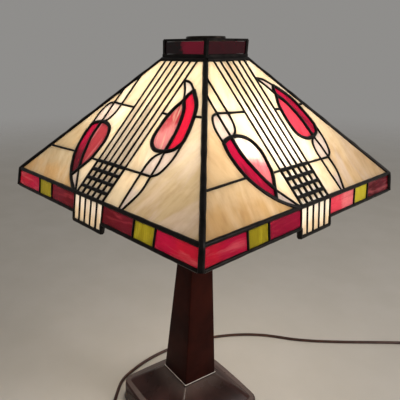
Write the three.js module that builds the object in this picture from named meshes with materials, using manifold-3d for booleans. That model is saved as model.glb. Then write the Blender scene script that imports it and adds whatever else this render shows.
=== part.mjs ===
// Leaded-glass table lamp: a square pyramid shade on a tapered square column.
// Millimetres, +Z up. The base stands on z = 0 with its sides along X and Y, and the column on the Z axis.
import * as THREE from 'three';
import { mergeVertices } from 'three/addons/utils/BufferGeometryUtils.js';
import Module from 'manifold-3d';

const wasm = await Module();
wasm.setup();

// ---------- driving dimensions ----------
const GAP = 0.3; // clearance between neighbouring solids

const SHADE_HALF = 178; // half of the shade's width at the arris, where the pyramid meets the apron
const SHADE_TURN = 8.4; // degrees that the shade is turned on its riser
const ARRIS_Z = 454;
const PYRAMID_RISE = 132.4;
const COLLAR_HALF = 34.4;
const COLLAR_RISE = 17.2;
const APRON_DROP = 22;
const APRON_FLARE = 4.5; // how far the apron's foot stands out from its top
const TAB_HALF = 29; // the dropped tab in the middle of each apron
const TAB_DROP = 32;
const GLASS = 2.8; // sheet glass thickness
const CAME_RAISE = 1.7; // lead standing out of the glass face
const HIP_RADIUS = 3.2;

const BASE_RIM_Z = 45;
const BASE_RIM_HALF = 96.4;
const BASE_FOOT_HALF = 99.5;
const BASE_LEDGE_HALF = 83.4; // inner edge of the flat rim, where the pyramid starts
const PYRAMID_TOP_Z = 93.4;
const PLINTH_HALF = 35.2;
const COLUMN_FOOT_Z = 96.2;
const COLUMN_FOOT_HALF = 33.2;
const COLUMN_TOP_Z = 372;
const COLUMN_TOP_HALF = 16.6;

const PIPE_RADIUS = 4.8;
const PIPE_HOLE = 5.2; // clearance hole round the pipe
const HUB_Z = 396;
const HUB_RADIUS = 17;
const ARM_TILT = 45; // degrees of each lampholder from upright
const COLLAR_FOOT_Z = ARRIS_Z + PYRAMID_RISE;
const COLLAR_TOP_Z = COLLAR_FOOT_Z + COLLAR_RISE;
const DISC_RADIUS = 23.2;

const CORD_RADIUS = 3.3;
const CORD_EXIT = [0, -102, 12]; // the middle of the side that faces -Y
const RELIEF_LENGTH = 23.6;
const RELIEF_SET = 0.8; // how far out of the wall the strain relief starts
const CORD_BEND = 28; // radius of the cord's turn beside the base
const COIL_CENTRE = [189.5, 560.7];
const COIL_RADIUS = 33.1; // at the middle of the turns

// ---------- colours and finishes ----------
const FINISH = {
  leadBlack: [0x1c1a19, 0.45, 0.8],
  bronze: [0x3a211b, 0.4, 0.5],
  baseBronze: [0x5f4e4a, 0.35, 0.6],
  cream: [0xe6c896, 0.25, 0],
  apronRed: [0x8e1226, 0.2, 0],
  collarRed: [0x5a1420, 0.2, 0],
  brass: [0xb08a4a, 0.3, 1],
  steel: [0x9a9a9a, 0.35, 1],
  iron: [0x3b3b3d, 0.7, 0.8],
  felt: [0x2d3a2c, 1, 0],
  bulb: [0xfff2d8, 0.2, 0],
  black: [0x151515, 0.5, 0],
  cordBrown: [0x5a3524, 0.6, 0],
};

function finishOf(name) {
  const [color, roughness, metalness] = FINISH[name];
  return new THREE.MeshStandardMaterial({ color, roughness, metalness });
}

function addMesh(parent, name, geometry, finish) {
  const mesh = new THREE.Mesh(geometry, finishOf(finish));
  mesh.name = name;
  parent.add(mesh);
  return mesh;
}

// ---------- solids ----------
// Index layout of a soft square section: an arc at each corner, then points along the side after it.
const ARC_STEPS = 6;
const SIDE_POINTS = 3;
const POINTS_PER_SIDE = ARC_STEPS + 1 + SIDE_POINTS;

// A square section with rounded corners, whose sides bow outwards by "bow" in the middle.
function squareRing(half, corner, z, bow = 0) {
  const ring = [];
  const straight = half - corner;
  for (let side = 0; side < 4; side++) {
    const turn = side * Math.PI / 2;
    const local = [];
    for (let i = 0; i <= ARC_STEPS; i++) {
      const angle = i / ARC_STEPS * Math.PI / 2;
      local.push([straight + corner * Math.cos(angle), straight + corner * Math.sin(angle)]);
    }
    for (let i = 1; i <= SIDE_POINTS; i++) {
      const along = i / (SIDE_POINTS + 1);
      const swell = bow * Math.sin(along * Math.PI);
      local.push([straight * (1 - 2 * along), half + swell]);
    }
    for (const [x, y] of local) {
      const c = Math.cos(turn);
      const s = Math.sin(turn);
      ring.push(new THREE.Vector3(c * x - s * y, s * x + c * y, z));
    }
  }
  return ring;
}

// A circle with the same index layout, so that it can be joined to a soft square.
function circleRing(radius, z) {
  const ring = [];
  for (let i = 0; i < 4 * POINTS_PER_SIDE; i++) {
    const angle = Math.PI / 4 + Math.PI / 2 * (i - ARC_STEPS / 2) / POINTS_PER_SIDE;
    ring.push(new THREE.Vector3(radius * Math.cos(angle), radius * Math.sin(angle), z));
  }
  return ring;
}

// Skin through rings of equal length. A closed loft returns from its last ring to its first, like a
// tube bent into a ring; an open one is capped at both ends.
function loft(rings, closed) {
  const count = rings[0].length;
  const positions = [];
  const index = [];
  rings.forEach((ring) => ring.forEach((p) => positions.push(p.x, p.y, p.z)));
  const last = closed ? rings.length : rings.length - 1;
  for (let r = 0; r < last; r++) {
    const a = r * count;
    const b = ((r + 1) % rings.length) * count;
    for (let i = 0; i < count; i++) {
      const j = (i + 1) % count;
      index.push(a + i, a + j, b + j, a + i, b + j, b + i);
    }
  }
  if (!closed) {
    for (const [ring, flip] of [[0, true], [rings.length - 1, false]]) {
      const centre = new THREE.Vector3();
      rings[ring].forEach((p) => centre.add(p));
      centre.divideScalar(count);
      const hub = positions.length / 3;
      positions.push(centre.x, centre.y, centre.z);
      for (let i = 0; i < count; i++) {
        const p = ring * count + i;
        const q = ring * count + (i + 1) % count;
        index.push(...(flip ? [hub, q, p] : [hub, p, q]));
      }
    }
  }
  const geometry = new THREE.BufferGeometry();
  geometry.setAttribute('position', new THREE.Float32BufferAttribute(positions, 3));
  geometry.setIndex(index);
  return geometry;
}

// A turned solid about Z from a profile of [radius, z], listed anticlockwise in the r-z plane.
function turned(profile, segments = 24) {
  const geometry = new THREE.LatheGeometry(profile.map(([r, z]) => new THREE.Vector2(r, z)), segments);
  geometry.rotateX(Math.PI / 2);
  return geometry;
}

// A turned ring or tube: inner and outer radius between two heights.
function tubeBetween(inner, outer, low, high, segments = 24) {
  const profile = [[inner, low], [outer, low], [outer, high], [inner, high], [inner, low]];
  return turned(profile, segments);
}

function rodBetween(radius, low, high, segments = 20) {
  return turned([[0, low], [radius, low], [radius, high], [0, high]], segments);
}

// A flat plate from an outline and its holes, with its near face at z = low.
function plate(outline, holes, low, thickness) {
  const shape = new THREE.Shape(outline.map(([x, y]) => new THREE.Vector2(x, y)));
  for (const hole of holes) {
    shape.holes.push(new THREE.Path(hole.map(([x, y]) => new THREE.Vector2(x, y))));
  }
  const geometry = new THREE.ExtrudeGeometry(shape, { depth: thickness, bevelEnabled: false });
  geometry.translate(0, 0, low);
  return geometry;
}

function rectangle(x0, y0, x1, y1) {
  return [[x0, y0], [x1, y0], [x1, y1], [x0, y1]];
}

function circleOutline(radius, steps, x = 0, y = 0) {
  return Array.from({ length: steps }, (_, i) => {
    const angle = i / steps * 2 * Math.PI;
    return [x + radius * Math.cos(angle), y + radius * Math.sin(angle)];
  });
}

function asSolid(geometry) {
  const plain = geometry.clone();
  plain.deleteAttribute('normal');
  plain.deleteAttribute('uv');
  const merged = mergeVertices(plain, 1e-4);
  return new wasm.Manifold(new wasm.Mesh({
    numProp: 3,
    vertProperties: new Float32Array(merged.attributes.position.array),
    triVerts: new Uint32Array(merged.index.array),
  }));
}

function asGeometry(solid) {
  const mesh = solid.getMesh();
  const geometry = new THREE.BufferGeometry();
  geometry.setAttribute('position', new THREE.Float32BufferAttribute(mesh.vertProperties, 3));
  geometry.setIndex(Array.from(mesh.triVerts));
  return geometry;
}

function block(x0, x1, y0, y1, z0, z1) {
  const geometry = new THREE.BoxGeometry(x1 - x0, y1 - y0, z1 - z0);
  geometry.translate((x0 + x1) / 2, (y0 + y1) / 2, (z0 + z1) / 2);
  return geometry;
}

// A flat plate pierced by many windows.
function lattice(outline, windows, low, thickness) {
  let body = asSolid(plate(outline, [], low, thickness));
  for (const window of windows) body = body.subtract(asSolid(plate(window, [], low - 1, thickness + 2)));
  return asGeometry(body);
}

// ---------- outline helpers for the leaded pattern ----------
// Lines and curves are lists of [u, v]: u to the right across a panel, v up its slope from the arris.
function curve(points, steps) {
  const spline = new THREE.CatmullRomCurve3(points.map(([x, y]) => new THREE.Vector3(x, y, 0)));
  return spline.getPoints(steps).map((p) => [p.x, p.y]);
}

const reversed = (points) => [...points].reverse();

// Joins stretches end to end into one outline without repeated points, running anticlockwise.
function outlineOf(...stretches) {
  const points = [];
  for (const point of stretches.flat()) {
    const before = points[points.length - 1];
    if (!before || Math.hypot(point[0] - before[0], point[1] - before[1]) > 0.3) points.push(point);
  }
  const [first, last] = [points[0], points[points.length - 1]];
  if (Math.hypot(first[0] - last[0], first[1] - last[1]) < 0.3) points.pop();
  const shape = points.map(([x, y]) => new THREE.Vector2(x, y));
  return THREE.ShapeUtils.area(shape) < 0 ? points.reverse() : points;
}

// The part of a list of points before or after the one nearest to a given point.
function nearestIndex(points, [x, y]) {
  const away = points.map((p) => Math.hypot(p[0] - x, p[1] - y));
  return away.indexOf(Math.min(...away));
}
const upTo = (points, at) => points.slice(0, nearestIndex(points, at) + 1);
const from = (points, at) => points.slice(nearestIndex(points, at));

function distanceToOutline(point, outline) {
  let best = Infinity;
  for (let i = 0; i < outline.length; i++) {
    const a = outline[i];
    const b = outline[(i + 1) % outline.length];
    const along = [b[0] - a[0], b[1] - a[1]];
    const size = along[0] ** 2 + along[1] ** 2;
    const t = ((point[0] - a[0]) * along[0] + (point[1] - a[1]) * along[1]) / size;
    const s = Math.min(1, Math.max(0, t));
    const gap = Math.hypot(point[0] - a[0] - s * along[0], point[1] - a[1] - s * along[1]);
    best = Math.min(best, gap);
  }
  return best;
}

// Moves an anticlockwise outline inwards by "by", dropping points that a narrow tip leaves too close.
function inset(outline, by) {
  const moved = outline.map((point, i) => {
    const before = outline[(i + outline.length - 1) % outline.length];
    const after = outline[(i + 1) % outline.length];
    const a = new THREE.Vector2(point[0] - before[0], point[1] - before[1]).normalize();
    const b = new THREE.Vector2(after[0] - point[0], after[1] - point[1]).normalize();
    const side = new THREE.Vector2(-a.y - b.y, a.x + b.x).normalize();
    const reach = by / Math.max(0.18, -a.y * side.x + a.x * side.y);
    return [point[0] + side.x * reach, point[1] + side.y * reach];
  });
  return moved.filter((point) => distanceToOutline(point, outline) > by * 0.97);
}

// ---------- the leaded pattern of one panel ----------
const slopeLength = Math.hypot(SHADE_HALF - COLLAR_HALF, PYRAMID_RISE);
const hipAt = (v) => SHADE_HALF - v * (SHADE_HALF - COLLAR_HALF) / slopeLength;
const PANEL_TOP = slopeLength - 4;
const STRIP_HALF = 26; // the five long strips up the middle
const STRIPS = 5;
const GRID_TOP = 46; // the little squares below the strips
const GRID_ROWS = 4;

function panelCells() {
  const cells = [];
  const stripWidth = 2 * STRIP_HALF / STRIPS;
  for (let column = 0; column < STRIPS; column++) {
    const left = -STRIP_HALF + column * stripWidth;
    cells.push(rectangle(left, GRID_TOP, left + stripWidth, PANEL_TOP));
    for (let row = 0; row < GRID_ROWS; row++) {
      const low = row * GRID_TOP / GRID_ROWS;
      cells.push(rectangle(left, low, left + stripWidth, low + GRID_TOP / GRID_ROWS));
    }
  }
  return [...cells, ...lowLeafCells(), ...highLeafCells()];
}

// Left of the strips: the low leaf, round above and pointed below.
function lowLeafCells() {
  const hip = (v) => [-hipAt(v), v];
  const strip = (v) => [-STRIP_HALF, v];
  const nodeOuter = [-68.5, 125];
  const nodeInner = [-52.5, 123.5];
  const tip = [-51, 28];
  const stalkInner = curve([nodeInner, [-53.5, 111], [-58, 101], [-66, 95.6]], 4);
  const stalkMiddle = [nodeOuter, [-68.5, 95.5]];
  const stalkOuter = curve([nodeOuter, [-77, 121.5], [-83.5, 109], [-84, 90]], 5);
  const crown = curve([[-84, 90], [-77, 93.7], [-68.5, 95.5]], 2);
  const inner = curve([[-68.5, 95.5], [-57, 95], [-45, 89], [-38, 74], [-38.5, 60], [-41, 46], tip], 10);
  const outer = curve([[-84, 90], [-85.5, 75], [-80, 48], [-62, 21.5], [-42, 6], [-30, 0]], 12);
  const midrib = curve([[-68.5, 95.5], [-68.5, 75], [-60.5, 48], tip], 6);
  const ledge = nearestOn(outer, [-80, 47]);
  const barb = nearestOn(outer, [-57, 17]);
  return [
    outlineOf([nodeInner, hip(170.7), hip(PANEL_TOP), strip(PANEL_TOP), strip(122)]),
    outlineOf([nodeInner, nodeOuter, [-68, 143], hip(152.3), hip(170.7)]),
    outlineOf(stalkInner, reversed(stalkMiddle)),
    outlineOf(stalkOuter, crown, reversed(stalkMiddle)),
    outlineOf(
      [nodeInner, strip(122), strip(GRID_TOP)],
      reversed(upTo(inner, [-41, 46])),
      reversed(stalkInner),
    ),
    outlineOf(midrib, reversed(inner)),
    outlineOf(crown, midrib, reversed(upTo(outer, barb))),
    outlineOf([tip], from(outer, barb), [[-28.5, 0]]),
    outlineOf(from(inner, [-41, 46]), [[-28.5, 0], strip(0), strip(GRID_TOP)]),
    outlineOf(stalkOuter, upTo(outer, ledge), [hip(47), hip(152.3), [-68, 143]]),
    outlineOf([hip(47)], from(outer, ledge), [hip(0)]),
  ];
}

function nearestOn(points, at) {
  return points[nearestIndex(points, at)];
}

// Right of the strips: the high leaf, pointed above and round below.
function highLeafCells() {
  const hip = (v) => [hipAt(v), v];
  const strip = (v) => [STRIP_HALF, v];
  const bud = [26, 164];
  const point = [50, 152];
  const notch = [45, 139];
  const seat = [66.5, 76];
  const upperSliver = curve([bud, [37, 161.5], point], 3);
  const lowerSliver = curve([bud, [36, 152.5], notch], 3);
  const shoulder = [point, [46.5, 146.5], notch];
  const inner = curve([notch, [38.5, 125], [36, 105], [38.5, 85], [50, 76], seat], 10);
  const midrib = curve([notch, [55, 126], [63.5, 102], seat], 6);
  const heel = curve([seat, [77, 81], [82.6, 91]], 3);
  const outer = curve([[82.6, 91], [78.5, 109], [68, 133.5], point], 7);
  const lensLeft = curve([seat, [57, 68], [53.8, 57], [53.8, GRID_TOP]], 4);
  const lensMiddle = [seat, [69, 62], [70, GRID_TOP]];
  const lensRight = curve([[82.6, 91], [83.8, 70], [78, 51], [70, GRID_TOP]], 6);
  const footLeft = [[53.8, GRID_TOP], [54.6, 24], [56, 0]];
  const footRight = curve([[70, GRID_TOP], [70.5, 27], [61, 0]], 5);
  const spur = nearestOn(outer, [73.5, 122]);
  return [
    outlineOf(upperSliver, shoulder, reversed(lowerSliver)),
    outlineOf(lowerSliver, upTo(inner, [37.4, 120]), [strip(120)]),
    outlineOf([strip(120)], from(inner, [37.4, 120]), lensLeft, [strip(GRID_TOP)]),
    outlineOf(inner, reversed(midrib)),
    outlineOf(shoulder, midrib, heel, outer),
    outlineOf(lensLeft, reversed(lensMiddle)),
    outlineOf(heel, lensRight, reversed(lensMiddle)),
    outlineOf([strip(PANEL_TOP)], upperSliver, reversed(from(outer, spur)), [hip(122), hip(PANEL_TOP)]),
    outlineOf([hip(122)], reversed(upTo(outer, spur)), lensRight, footRight, [hip(0)]),
    outlineOf([strip(GRID_TOP)], footLeft, [strip(0)]),
    outlineOf(footLeft, reversed(footRight)),
  ];
}

// Panes across one apron: long red, yellow-green, red, the tab's five strips, and the same again.
function apronCells() {
  const flareAt = (v) => -v * APRON_FLARE / APRON_DROP;
  const cells = [];
  for (const side of [-1, 1]) {
    for (const [near, far] of [[TAB_HALF, 85], [85, 118]]) {
      cells.push(outlineOf(rectangle(side * near, -APRON_DROP, side * far, 0)));
    }
    const end = (v) => side * (SHADE_HALF + flareAt(v));
    cells.push(outlineOf([
      [side * 118, 0], [side * 118, -APRON_DROP], [end(-APRON_DROP), -APRON_DROP], [end(0), 0],
    ]));
  }
  const stripWidth = 2 * TAB_HALF / STRIPS;
  for (let column = 0; column < STRIPS; column++) {
    const left = -TAB_HALF + column * stripWidth;
    cells.push(rectangle(left, -TAB_DROP, left + stripWidth, 0));
  }
  return cells;
}

// ---------- shade ----------
const CAME_HALF = 1.45; // half the width of a lead line

// A group whose x, y, z run right, up the slope and outwards on a face that starts at the arris.
function faceGroup(run, rise) {
  const up = new THREE.Vector3(run, 0, rise).normalize();
  const right = new THREE.Vector3(0, 1, 0);
  const out = new THREE.Vector3().crossVectors(right, up);
  const group = new THREE.Group();
  group.quaternion.setFromRotationMatrix(new THREE.Matrix4().makeBasis(right, up, out));
  group.position.set(SHADE_HALF, 0, ARRIS_Z);
  return group;
}

function trapezoid(low, high, edge) {
  const half = (v) => hipAt(v) - edge;
  return [[-half(low), low], [half(low), low], [half(high), high], [-half(high), high]];
}

function buildPanel(parent, side) {
  const face = faceGroup(COLLAR_HALF - SHADE_HALF, PYRAMID_RISE);
  addMesh(face, `panel_glass_${side}`, plate(trapezoid(1.5, PANEL_TOP - 1, 3.4), [], -GLASS, GLASS), 'cream');
  const holes = panelCells().map((cell) => clipToPanel(inset(cell, CAME_HALF)));
  const lead = lattice(trapezoid(0.8, PANEL_TOP, 3.6), holes, GAP, CAME_RAISE);
  addMesh(face, `panel_lead_${side}`, lead, 'leadBlack');
  parent.add(face);
}

// Cuts an outline back to one side of a line, where "inside" is positive.
function cutBack(outline, inside) {
  const kept = [];
  outline.forEach((point, i) => {
    const next = outline[(i + 1) % outline.length];
    const here = inside(point);
    const there = inside(next);
    if (here >= 0) kept.push(point);
    if (here * there < 0) {
      const t = here / (here - there);
      kept.push([point[0] + t * (next[0] - point[0]), point[1] + t * (next[1] - point[1])]);
    }
  });
  return kept.filter((point, i) => {
    const next = kept[(i + 1) % kept.length];
    return Math.hypot(point[0] - next[0], point[1] - next[1]) > 0.05;
  });
}

// Keeps a hole clear of the lead border that runs along the arris, the hips and the collar.
function clipToPanel(hole) {
  const edges = [
    ([, v]) => v - 2.8,
    ([, v]) => PANEL_TOP - 2.2 - v,
    ([u, v]) => hipAt(v) - 7.4 - u,
    ([u, v]) => hipAt(v) - 7.4 + u,
  ];
  return edges.reduce(cutBack, hole);
}

function apronOutline(edge, low, tabEdge) {
  const end = (v) => SHADE_HALF - v * APRON_FLARE / APRON_DROP - edge;
  const foot = -APRON_DROP + low;
  const tab = TAB_HALF + tabEdge;
  return [
    [-end(0), -1.2], [-end(-APRON_DROP), foot], [-tab, foot], [-tab, -TAB_DROP + low],
    [tab, -TAB_DROP + low], [tab, foot], [end(-APRON_DROP), foot], [end(0), -1.2],
  ];
}

function clipToApron(hole) {
  const inTab = hole.every(([u]) => Math.abs(u) < TAB_HALF);
  const foot = inTab ? TAB_DROP - 2.8 : APRON_DROP - 2.6;
  const edges = [
    ([, v]) => v + foot,
    ([, v]) => -3.2 - v,
    ([u]) => SHADE_HALF - 7 - u,
    ([u]) => SHADE_HALF - 7 + u,
  ];
  return edges.reduce(cutBack, hole);
}

function buildApron(parent, side) {
  const face = faceGroup(-APRON_FLARE, APRON_DROP);
  addMesh(face, `apron_glass_${side}`, plate(apronOutline(3.8, 1.2, 0), [], -GLASS, GLASS), 'apronRed');
  const holes = apronCells().map((cell) => inset(cell, CAME_HALF));
  const lead = lattice(apronOutline(4.2, 0, 1.6), holes.map(clipToApron), GAP, CAME_RAISE);
  addMesh(face, `apron_lead_${side}`, lead, 'leadBlack');
  parent.add(face);
}

// The thick solder bead down a hip, bent over at the arris and down the apron's corner.
function buildHip(parent, side) {
  const corner = Math.SQRT2;
  const stations = [
    [COLLAR_HALF * corner + 9.2, COLLAR_FOOT_Z - 3.6, [-0.838, 0.546]],
    [SHADE_HALF * corner + 1.9, ARRIS_Z + 1.3, [-0.3, 0.95]],
    [(SHADE_HALF + APRON_FLARE) * corner + 2.2, ARRIS_Z - APRON_DROP, [-0.25, 0.97]],
  ];
  const SIDES = 10;
  const rings = stations.map(([radial, z, along]) => {
    const across = new THREE.Vector3(along[1], 0, -along[0]).normalize();
    return Array.from({ length: SIDES }, (_, i) => {
      const angle = i / SIDES * 2 * Math.PI;
      const out = HIP_RADIUS * Math.cos(angle);
      return new THREE.Vector3(radial + across.x * out, HIP_RADIUS * Math.sin(angle), z + across.z * out);
    });
  });
  const hip = addMesh(parent, `hip_bead_${side}`, loft(rings.reverse(), false), 'leadBlack');
  hip.rotation.z = Math.PI / 4;
}

function buildCollar(parent) {
  const inner = COLLAR_HALF - 2.8;
  let frame = null;
  const join = (geometry) => {
    frame = frame ? frame.add(asSolid(geometry)) : asSolid(geometry);
  };
  for (let k = 0; k < 4; k++) {
    for (const [out, low, high] of [
      [COLLAR_HALF + 1.4, COLLAR_FOOT_Z - 1.2, COLLAR_FOOT_Z + 2.4],
      [COLLAR_HALF + 0.4, COLLAR_TOP_Z - 2.4, COLLAR_TOP_Z],
    ]) {
      join(block(inner, out, -out, out, low, high).rotateZ(k * Math.PI / 2));
    }
    const post = block(inner, COLLAR_HALF + 1, inner, COLLAR_HALF + 1, COLLAR_FOOT_Z, COLLAR_TOP_Z - 1);
    join(post.rotateZ(k * Math.PI / 2));
  }
  addMesh(parent, 'collar_frame', asGeometry(frame), 'leadBlack');
  SIDE_NAMES.forEach((side, k) => {
    const pane = block(COLLAR_HALF - 2.7, COLLAR_HALF, -(inner - GAP), inner - GAP,
      COLLAR_FOOT_Z + 2.4 + GAP, COLLAR_TOP_Z - 2.4 - GAP);
    addMesh(parent, `collar_pane_${side}`, pane.rotateZ(k * Math.PI / 2), 'collarRed');
  });
}

function buildVentCap(parent) {
  const half = COLLAR_HALF - 2.8 - GAP;
  const chamfer = 2;
  const outline = [];
  for (const [sx, sy] of [[1, 1], [-1, 1], [-1, -1], [1, -1]]) {
    const pair = [[sx * half, sy * (half - chamfer)], [sx * (half - chamfer), sy * half]];
    outline.push(...(sx * sy > 0 ? pair : pair.reverse()));
  }
  const slots = [0, 1, 2, 3].map((k) => {
    const turn = k * Math.PI / 2;
    return rectangle(25.5, -11, 28.5, 11).map(([x, y]) => [
      x * Math.cos(turn) - y * Math.sin(turn),
      x * Math.sin(turn) + y * Math.cos(turn),
    ]);
  });
  const holes = [circleOutline(PIPE_HOLE + 0.1, 24), ...slots];
  addMesh(parent, 'vent_cap', plate(outline, holes, COLLAR_TOP_Z - 2.4, 1.4), 'leadBlack');
}

const SIDE_NAMES = ['right', 'back', 'left', 'front']; // outward along +X, +Y, -X and -Y

function buildShade(parent) {
  const shade = new THREE.Group();
  shade.rotation.z = THREE.MathUtils.degToRad(SHADE_TURN);
  SIDE_NAMES.forEach((side, k) => {
    const quarter = new THREE.Group();
    quarter.rotation.z = k * Math.PI / 2;
    buildPanel(quarter, side);
    buildApron(quarter, side);
    buildHip(quarter, side);
    shade.add(quarter);
  });
  buildCollar(shade);
  buildVentCap(shade);
  parent.add(shade);
}

// ---------- base and column ----------
function buildBase(parent) {
  addMesh(parent, 'felt_pad', loft([
    squareRing(BASE_FOOT_HALF - 2, 22, 0, 1.5),
    squareRing(BASE_FOOT_HALF - 2, 22, 1.5, 1.5),
  ], false), 'felt');

  const ledge = BASE_RIM_Z + 0.8;
  const casting = [
    squareRing(BASE_FOOT_HALF, 24, 1.8, 2.5),
    squareRing(BASE_FOOT_HALF, 24, 5, 2.5),
    squareRing(BASE_FOOT_HALF - 1.7, 23.5, 14, 2.5),
    squareRing(BASE_RIM_HALF + 0.4, 23, 27, 2.5),
    squareRing(BASE_RIM_HALF, 22.5, 40, 2.5),
    squareRing(BASE_RIM_HALF - 1, 22, 43.6, 2.5),
    squareRing(BASE_RIM_HALF - 3.4, 20, BASE_RIM_Z, 2.3),
    squareRing(BASE_LEDGE_HALF + 2, 12, ledge, 1.4),
    squareRing(BASE_LEDGE_HALF, 9, ledge + 1.2, 1),
    squareRing(PLINTH_HALF - 1, 2, PYRAMID_TOP_Z, 0),
    circleRing(PIPE_HOLE + 0.3, PYRAMID_TOP_Z),
    circleRing(PIPE_HOLE + 0.3, PYRAMID_TOP_Z - 5.4),
    squareRing(28, 2, PYRAMID_TOP_Z - 5.4, 0),
    squareRing(78, 9, 40, 0),
    squareRing(91, 18, 37, 1.5),
    squareRing(93, 19, 8, 2),
    squareRing(94, 20, 1.8, 2),
  ];
  const [x, y, z] = CORD_EXIT;
  const cordHole = rodBetween(CORD_RADIUS + 1.6, 0, 14).rotateX(Math.PI / 2).translate(x, y + 9, z);
  const body = asSolid(loft(casting, true)).subtract(asSolid(cordHole));
  addMesh(parent, 'base_casting', asGeometry(body), 'baseBronze');

  addMesh(parent, 'ballast', loft([
    squareRing(50, 6, 62, 0),
    squareRing(25.5, 3, PYRAMID_TOP_Z - 5.8, 0),
    circleRing(PIPE_HOLE + 0.3, PYRAMID_TOP_Z - 5.8),
    circleRing(PIPE_HOLE + 0.3, 62),
  ], true), 'iron');
  addMesh(parent, 'lower_washer', tubeBetween(PIPE_HOLE, 13, 59.9, 61.6), 'steel');
  addMesh(parent, 'lower_nut', tubeBetween(6.1, 9.4, 54.5, 59.6, 6), 'steel');
  addMesh(parent, 'threaded_pipe', tubeBetween(3.6, PIPE_RADIUS, 50, HUB_Z - 5), 'steel');
  addMesh(parent, 'inner_lead', rodBetween(2.3, 51, HUB_Z - 6, 10), 'black');

  const plinthLow = PYRAMID_TOP_Z + GAP;
  addMesh(parent, 'plinth_plate', loft([
    squareRing(PLINTH_HALF - 0.6, 1.6, plinthLow, 0),
    squareRing(PLINTH_HALF, 2, plinthLow + 0.5, 0),
    squareRing(PLINTH_HALF, 2, plinthLow + 1.5, 0),
    squareRing(PLINTH_HALF - 0.8, 1.6, COLUMN_FOOT_Z - GAP, 0),
    circleRing(PIPE_HOLE + 0.3, COLUMN_FOOT_Z - GAP),
    circleRing(PIPE_HOLE + 0.3, plinthLow),
  ], true), 'bronze');

  addMesh(parent, 'column', loft([
    squareRing(COLUMN_FOOT_HALF, 1.8, COLUMN_FOOT_Z, 0),
    squareRing(COLUMN_TOP_HALF, 1.8, COLUMN_TOP_Z, 0),
    circleRing(PIPE_HOLE + 0.3, COLUMN_TOP_Z),
    circleRing(PIPE_HOLE + 0.3, COLUMN_TOP_Z - 5),
    squareRing(COLUMN_TOP_HALF - 3, 1, COLUMN_TOP_Z - 5, 0),
    squareRing(COLUMN_FOOT_HALF - 3.4, 1, COLUMN_FOOT_Z, 0),
  ], true), 'bronze');

  const capLow = COLUMN_TOP_Z + GAP;
  addMesh(parent, 'column_cap', loft([
    squareRing(COLUMN_TOP_HALF + 1.6, 2, capLow, 0),
    squareRing(COLUMN_TOP_HALF + 1.6, 2, capLow + 2, 0),
    squareRing(COLUMN_TOP_HALF, 2, capLow + 3, 0),
    circleRing(PIPE_HOLE, capLow + 3),
    circleRing(PIPE_HOLE, capLow),
  ], true), 'bronze');
}

// ---------- lampholders, bulbs and riser ----------
function buildHub(parent) {
  const profile = [];
  const bore = PIPE_HOLE;
  const edge = Math.asin(bore / HUB_RADIUS);
  const STEPS = 10;
  for (let i = 0; i <= STEPS; i++) {
    const angle = edge + (Math.PI - 2 * edge) * i / STEPS;
    profile.push([HUB_RADIUS * Math.sin(angle), HUB_Z - HUB_RADIUS * Math.cos(angle)]);
  }
  addMesh(parent, 'cluster_hub', turned([...profile, profile[0]], 20), 'brass');
}

function buildLight(parent, letter) {
  addMesh(parent, `arm_${letter}`, tubeBetween(3, 5, HUB_RADIUS + 0.4, 24, 16), 'brass');
  addMesh(parent, `lampholder_${letter}`, turned([
    [3, 24.3], [9, 24.3], [14.2, 28], [15.6, 33], [15.6, 62], [14.2, 62], [14.2, 35], [3, 35], [3, 24.3],
  ], 20), 'brass');
  addMesh(parent, `bulb_cap_${letter}`, turned([
    [0, 37], [5, 37], [8.5, 40], [12.6, 41.5], [12.6, 59], [0, 59],
  ], 20), 'steel');
  const glass = [];
  const wall = 1;
  const curveOut = new THREE.CatmullRomCurve3([
    new THREE.Vector3(12.4, 59.4, 0), new THREE.Vector3(13.5, 66, 0), new THREE.Vector3(20, 80, 0),
    new THREE.Vector3(24, 96, 0), new THREE.Vector3(21.5, 110, 0), new THREE.Vector3(12, 119, 0),
    new THREE.Vector3(0, 122, 0),
  ]).getPoints(12);
  curveOut.forEach((p) => glass.push([Math.max(0, p.x), p.y]));
  const inside = curveOut.slice(0, -1).map((p) => [p.x - wall, p.y - (p.y > 100 ? wall * 0.6 : 0)]);
  const section = [...glass, [0, 122 - wall], ...inside.reverse(), glass[0]];
  addMesh(parent, `bulb_glass_${letter}`, turned(section, 20), 'bulb');

  const knob = new THREE.Group();
  knob.position.set(0, 0, 47);
  knob.rotation.y = Math.PI / 2;
  const lobes = Array.from({ length: 32 }, (_, i) => {
    const angle = i / 32 * 2 * Math.PI;
    const radius = 6 + 0.45 * Math.cos(8 * angle);
    return [radius * Math.cos(angle), radius * Math.sin(angle)];
  });
  const stem = asSolid(rodBetween(1.8, 15.9, 23, 12));
  addMesh(knob, `switch_knob_${letter}`, asGeometry(stem.add(asSolid(plate(lobes, [], 22, 9)))), 'black');
  parent.add(knob);
}

function buildLights(parent) {
  buildHub(parent);
  for (const [letter, turn] of [['a', 0], ['b', Math.PI]]) {
    const around = new THREE.Group();
    around.rotation.z = turn;
    const arm = new THREE.Group();
    arm.position.z = HUB_Z;
    arm.rotation.y = THREE.MathUtils.degToRad(ARM_TILT);
    buildLight(arm, letter);
    around.add(arm);
    parent.add(around);
  }
  const capLow = COLLAR_TOP_Z - 2.4;
  const hubNutLow = COLUMN_TOP_Z + GAP + 3 + GAP;
  addMesh(parent, 'riser', rodBetween(PIPE_RADIUS, HUB_Z + 2, COLLAR_TOP_Z + 1), 'brass');
  addMesh(parent, 'column_nut', tubeBetween(6.1, 9.4, hubNutLow, hubNutLow + 3, 6), 'brass');
  addMesh(parent, 'riser_seat', tubeBetween(PIPE_HOLE, 11, capLow - GAP - 5, capLow - GAP), 'brass');
  buildFinial(parent, COLLAR_TOP_Z - 1 + GAP);
}

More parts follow.
